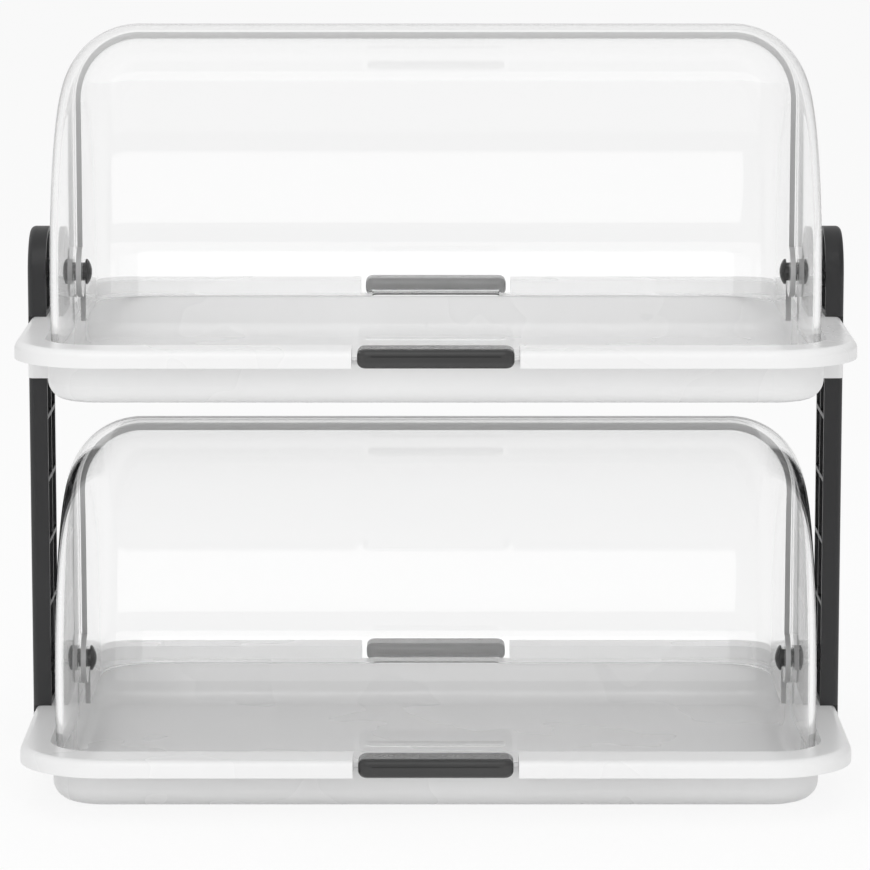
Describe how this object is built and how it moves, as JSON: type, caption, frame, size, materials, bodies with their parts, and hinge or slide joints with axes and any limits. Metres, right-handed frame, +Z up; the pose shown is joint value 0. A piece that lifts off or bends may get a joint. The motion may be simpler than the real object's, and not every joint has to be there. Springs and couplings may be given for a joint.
{
  "type": "countertop bread display bin",
  "caption": "Two-tier countertop bread display bin: white trays on side columns, each closed by a pair of clear half-barrel lids that swing open about side pivots.",
  "frame": {"origin": "centre of the underside of the lower tray", "axes": "+X along the width to the right, -Y towards the front with its outer lids and the viewer, +Z up"},
  "size_m": [0.442, 0.322, 0.4052],
  "materials": {
    "tray_white": "smooth glossy white moulded plastic",
    "post_black": "satin black moulded plastic",
    "grip_grey": "satin dark grey moulded plastic",
    "lid_clear": "clear polished plastic",
    "pivot_black": "smooth black moulded plastic"
  },
  "bodies": {
    "stand": {"lower_tray": "tray_white", "upper_tray": "tray_white", "left_column": "post_black", "left_upright": "post_black", "right_column": "post_black", "right_upright": "post_black", "lower_front_grip": "grip_grey", "lower_rear_grip": "grip_grey", "upper_front_grip": "grip_grey", "upper_rear_grip": "grip_grey", "lower_left_stud": "pivot_black", "lower_left_knob": "pivot_black", "lower_right_stud": "pivot_black", "lower_right_knob": "pivot_black", "upper_left_stud": "pivot_black", "upper_left_knob": "pivot_black", "upper_right_stud": "pivot_black", "upper_right_knob": "pivot_black"},
    "lower_front_lid": {"lower_front_lid": "lid_clear"},
    "lower_rear_lid": {"lower_rear_lid": "lid_clear"},
    "upper_front_lid": {"upper_front_lid": "lid_clear"},
    "upper_rear_lid": {"upper_rear_lid": "lid_clear"}
  },
  "joints": [
    {"name": "lower_front_lid_hinge", "type": "hinge", "parent": "stand", "child": "lower_front_lid", "pos_m": [0, 0, 0.0549], "axis": [-1, 0, 0], "range_deg": [0, 95]},
    {"name": "lower_rear_lid_hinge", "type": "hinge", "parent": "stand", "child": "lower_rear_lid", "pos_m": [0, 0, 0.0549], "axis": [1, 0, 0], "range_deg": [0, 95]},
    {"name": "upper_front_lid_hinge", "type": "hinge", "parent": "stand", "child": "upper_front_lid", "pos_m": [0, 0, 0.2701], "axis": [-1, 0, 0], "range_deg": [0, 95]},
    {"name": "upper_rear_lid_hinge", "type": "hinge", "parent": "stand", "child": "upper_rear_lid", "pos_m": [0, 0, 0.2701], "axis": [1, 0, 0], "range_deg": [0, 95]}
  ]
}
